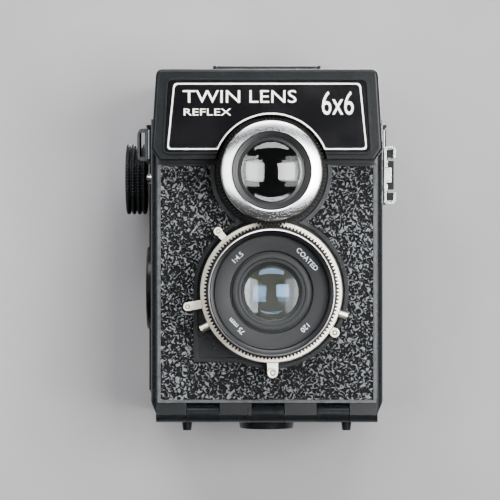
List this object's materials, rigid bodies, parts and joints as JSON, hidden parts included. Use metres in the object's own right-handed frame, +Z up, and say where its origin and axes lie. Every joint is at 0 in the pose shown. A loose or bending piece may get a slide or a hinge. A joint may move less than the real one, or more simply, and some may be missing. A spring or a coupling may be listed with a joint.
{
  "type": "twin lens reflex camera",
  "caption": "Twin lens reflex camera for roll film, with two geared lenses, a leaf shutter, a folding finder hood and a hinged back.",
  "frame": {"origin": "centre of the tripod bush's mouth, in the plane of the feet", "axes": "+Z up, +Y from the lenses to the back door, +X to the right of someone who faces the lenses"},
  "size_m": [0.099, 0.0974, 0.1315],
  "materials": {
    "housing_plastic": "satin moulded black plastic",
    "grained_panel": "leather grain",
    "blackened_metal": "matt black",
    "black_enamel": "gloss black with an off-white line",
    "toothed_ring_metal": "blackened, worn at the teeth",
    "chrome": "turned and plated",
    "nickel": "nickel plate",
    "spring_steel": "rolled",
    "bush_brass": "turned",
    "optical_glass": "polished and coated",
    "screen_glass": "ground on one face",
    "red_plastic": "clear red",
    "mirror": "front silvered",
    "insulator_plastic": "matt"
  },
  "bodies": {
    "root": {"body_shell": "housing_plastic", "front_panel": "grained_panel", "light_baffle": "blackened_metal", "film_gate": "blackened_metal", "hinge_pin": "nickel", "hood_housing": "housing_plastic", "nameplate": "black_enamel", "focusing_screen": "screen_glass", "reflex_mirror": "mirror", "mirror_frame": "blackened_metal", "viewing_sleeve": "blackened_metal", "shutter_housing": "blackened_metal", "shutter_cover": "blackened_metal", "inner_glasses": "optical_glass", "shutter_sockets": "nickel", "spool_pins": "nickel", "lug_brackets": "chrome", "accessory_shoe": "chrome", "shoe_insulator": "insulator_plastic", "body_screws": "nickel"},
    "door": {"back_door": "housing_plastic", "base_feet": "housing_plastic", "tripod_bush": "bush_brass", "pressure_springs": "spring_steel", "red_windows": "red_plastic"},
    "pressure_plate": {"pressure_plate": "blackened_metal"},
    "window_cover": {"window_cover": "housing_plastic"},
    "door_latch": {"door_latch": "housing_plastic"},
    "hood_lid": {"hood_lid": "housing_plastic"},
    "sports_flap": {"sports_flap": "housing_plastic"},
    "left_flap": {"left_flap": "blackened_metal"},
    "right_flap": {"right_flap": "blackened_metal"},
    "rear_flap": {"rear_flap": "blackened_metal"},
    "magnifier": {"magnifier_frame": "blackened_metal", "magnifier_lens": "optical_glass"},
    "taking_cell": {"lens_name_ring": "blackened_metal", "taking_front_glass": "optical_glass"},
    "focus_ring": {"focus_ring": "toothed_ring_metal"},
    "viewing_cell": {"viewing_glasses": "optical_glass"},
    "viewing_ring": {"viewing_gear_ring": "toothed_ring_metal", "viewing_trim_ring": "chrome"},
    "speed_ring": {"speed_ring": "nickel"},
    "aperture_lever": {"aperture_lever": "nickel"},
    "cocking_lever": {"cocking_lever": "nickel"},
    "release_lever": {"release_lever": "nickel"},
    "shutter_blade_right": {"shutter_blade_right": "spring_steel"},
    "shutter_blade_left": {"shutter_blade_left": "spring_steel"},
    "winder": {"winding_knob": "housing_plastic", "winding_shaft": "nickel"},
    "take_up_spool": {"take_up_spool": "housing_plastic"},
    "film_roller_lower": {"film_roller_lower": "nickel"},
    "film_roller_upper": {"film_roller_upper": "nickel"},
    "memo_dial": {"memo_dial": "housing_plastic"},
    "strap_lug_left": {"strap_lug_left": "chrome"},
    "strap_lug_right": {"strap_lug_right": "chrome"},
    "iris_blade_1": {"iris_blade_1": "spring_steel"},
    "iris_blade_2": {"iris_blade_2": "spring_steel"},
    "iris_blade_3": {"iris_blade_3": "spring_steel"},
    "iris_blade_4": {"iris_blade_4": "spring_steel"},
    "iris_blade_5": {"iris_blade_5": "spring_steel"}
  },
  "joints": [
    {"name": "door_hinge", "type": "hinge", "parent": "root", "child": "door", "pos_m": [0, -0.0186, 0.0066], "axis": [-1, 0, 0], "range_deg": [0, 100]},
    {"name": "pressure_plate_travel", "type": "slide", "parent": "door", "child": "pressure_plate", "axis": [0, 1, 0], "range_m": [0, 0.0008], "stiffness_N_per_m": 400, "springref_m": -0.002, "deforming": ["pressure_springs"]},
    {"name": "window_cover_slide", "type": "slide", "parent": "door", "child": "window_cover", "axis": [1, 0, 0], "range_m": [0, 0.009]},
    {"name": "door_latch_slide", "type": "slide", "parent": "door", "child": "door_latch", "axis": [1, 0, 0], "range_m": [0, 0.006]},
    {"name": "hood_lid_hinge", "type": "hinge", "parent": "root", "child": "hood_lid", "pos_m": [0, -0.0179, 0.1284], "axis": [1, 0, 0], "range_deg": [0, 90]},
    {"name": "sports_flap_hinge", "type": "hinge", "parent": "hood_lid", "child": "sports_flap", "pos_m": [0, -0.0144, 0.13075], "axis": [1, 0, 0], "range_deg": [0, 90]},
    {"name": "left_flap_hinge", "type": "hinge", "parent": "root", "child": "left_flap", "pos_m": [-0.0304, 0.007, 0.1218], "axis": [0, -1, 0], "range_deg": [0, 90]},
    {"name": "right_flap_hinge", "type": "hinge", "parent": "root", "child": "right_flap", "pos_m": [0.0304, 0.007, 0.1218], "axis": [0, 1, 0], "range_deg": [0, 90]},
    {"name": "rear_flap_hinge", "type": "hinge", "parent": "root", "child": "rear_flap", "pos_m": [0, 0.032, 0.124], "axis": [-1, 0, 0], "range_deg": [0, 90]},
    {"name": "magnifier_hinge", "type": "hinge", "parent": "hood_lid", "child": "magnifier", "pos_m": [0, 0.0061, 0.1261], "axis": [-1, 0, 0], "range_deg": [0, 90]},
    {"name": "taking_cell_travel", "type": "slide", "parent": "root", "child": "taking_cell", "axis": [0, -1, 0], "range_m": [0, 0.0024]},
    {"name": "focus_turn", "type": "hinge", "parent": "taking_cell", "child": "focus_ring", "pos_m": [0.0015, -0.04, 0.0503], "axis": [0, -1, 0], "range_deg": [0, 250]},
    {"name": "viewing_cell_travel", "type": "slide", "parent": "root", "child": "viewing_cell", "axis": [0, -1, 0], "range_m": [0, 0.0024]},
    {"name": "viewing_turn", "type": "hinge", "parent": "viewing_cell", "child": "viewing_ring", "pos_m": [0.0015, -0.04, 0.09272], "axis": [0, -1, 0], "range_deg": [-311.6, 0]},
    {"name": "speed_turn", "type": "hinge", "parent": "root", "child": "speed_ring", "pos_m": [0.0015, -0.03, 0.0503], "axis": [0, -1, 0], "range_deg": [-20, 30]},
    {"name": "aperture_turn", "type": "hinge", "parent": "root", "child": "aperture_lever", "pos_m": [0.0015, -0.029, 0.0503], "axis": [0, -1, 0], "range_deg": [0, 45]},
    {"name": "cocking_turn", "type": "hinge", "parent": "root", "child": "cocking_lever", "pos_m": [0.0015, -0.028, 0.0503], "axis": [0, -1, 0], "range_deg": [0, 40], "stiffness_Nm_per_rad": 0.02},
    {"name": "release_turn", "type": "hinge", "parent": "root", "child": "release_lever", "pos_m": [0.0015, -0.027, 0.0503], "axis": [0, 1, 0], "range_deg": [0, 20], "stiffness_Nm_per_rad": 0.05},
    {"name": "shutter_blade_right_turn", "type": "hinge", "parent": "root", "child": "shutter_blade_right", "pos_m": [0.0095, -0.0244, 0.0343], "axis": [0, 1, 0], "range_deg": [0, 38]},
    {"name": "shutter_blade_left_turn", "type": "hinge", "parent": "root", "child": "shutter_blade_left", "pos_m": [-0.0065, -0.0241, 0.0663], "axis": [0, 1, 0], "range_deg": [0, 38]},
    {"name": "winding_turn", "type": "hinge", "parent": "root", "child": "winder", "pos_m": [-0.049, 0.0268, 0.0918], "axis": [-1, 0, 0], "continuous": true},
    {"name": "take_up_spool_turn", "type": "hinge", "parent": "root", "child": "take_up_spool", "pos_m": [0.0015, 0.0268, 0.0918], "axis": [-1, 0, 0], "continuous": true},
    {"name": "film_roller_lower_turn", "type": "hinge", "parent": "root", "child": "film_roller_lower", "pos_m": [0.0015, 0.037, 0.0193], "axis": [1, 0, 0], "continuous": true},
    {"name": "film_roller_upper_turn", "type": "hinge", "parent": "root", "child": "film_roller_upper", "pos_m": [0.0015, 0.037, 0.0813], "axis": [1, 0, 0], "continuous": true},
    {"name": "memo_dial_turn", "type": "hinge", "parent": "root", "child": "memo_dial", "pos_m": [-0.043, 0.005, 0.0512], "axis": [-1, 0, 0], "continuous": true},
    {"name": "strap_lug_left_swing", "type": "hinge", "parent": "root", "child": "strap_lug_left", "pos_m": [-0.0432, 0.004, 0.104], "axis": [0, 0, 1], "range_deg": [-43, 72]},
    {"name": "strap_lug_right_swing", "type": "hinge", "parent": "root", "child": "strap_lug_right", "pos_m": [0.0432, 0.004, 0.104], "axis": [0, 0, -1], "range_deg": [0, 115]},
    {"name": "iris_blade_1_turn", "type": "hinge", "parent": "root", "child": "iris_blade_1", "pos_m": [0.0015, -0.0256, 0.0667], "axis": [0, -1, 0], "range_deg": [0, 25]},
    {"name": "iris_blade_2_turn", "type": "hinge", "parent": "root", "child": "iris_blade_2", "pos_m": [-0.0141, -0.0254, 0.05537], "axis": [0, -1, 0], "range_deg": [0, 25]},
    {"name": "iris_blade_3_turn", "type": "hinge", "parent": "root", "child": "iris_blade_3", "pos_m": [-0.00814, -0.0252, 0.03703], "axis": [0, -1, 0], "range_deg": [0, 25]},
    {"name": "iris_blade_4_turn", "type": "hinge", "parent": "root", "child": "iris_blade_4", "pos_m": [0.01114, -0.025, 0.03703], "axis": [0, -1, 0], "range_deg": [0, 25]},
    {"name": "iris_blade_5_turn", "type": "hinge", "parent": "root", "child": "iris_blade_5", "pos_m": [0.0171, -0.0248, 0.05537], "axis": [0, -1, 0], "range_deg": [0, 25]}
  ],
  "couplings": [
    {"joint": "left_flap_hinge", "follows": "hood_lid_hinge", "ratio": 1},
    {"joint": "right_flap_hinge", "follows": "hood_lid_hinge", "ratio": 1},
    {"joint": "rear_flap_hinge", "follows": "hood_lid_hinge", "ratio": 1},
    {"joint": "magnifier_hinge", "follows": "hood_lid_hinge", "ratio": 1},
    {"joint": "taking_cell_travel", "follows": "focus_turn", "m_per_rad": 0.00055004},
    {"joint": "viewing_cell_travel", "follows": "focus_turn", "m_per_rad": 0.00055004},
    {"joint": "viewing_turn", "follows": "focus_turn", "ratio": -1.2444},
    {"joint": "shutter_blade_right_turn", "follows": "release_turn", "ratio": 1.9},
    {"joint": "shutter_blade_left_turn", "follows": "release_turn", "ratio": 1.9},
    {"joint": "take_up_spool_turn", "follows": "winding_turn", "ratio": 1},
    {"joint": "iris_blade_1_turn", "follows": "aperture_turn", "ratio": 0.55},
    {"joint": "iris_blade_2_turn", "follows": "aperture_turn", "ratio": 0.55},
    {"joint": "iris_blade_3_turn", "follows": "aperture_turn", "ratio": 0.55},
    {"joint": "iris_blade_4_turn", "follows": "aperture_turn", "ratio": 0.55},
    {"joint": "iris_blade_5_turn", "follows": "aperture_turn", "ratio": 0.55}
  ]
}
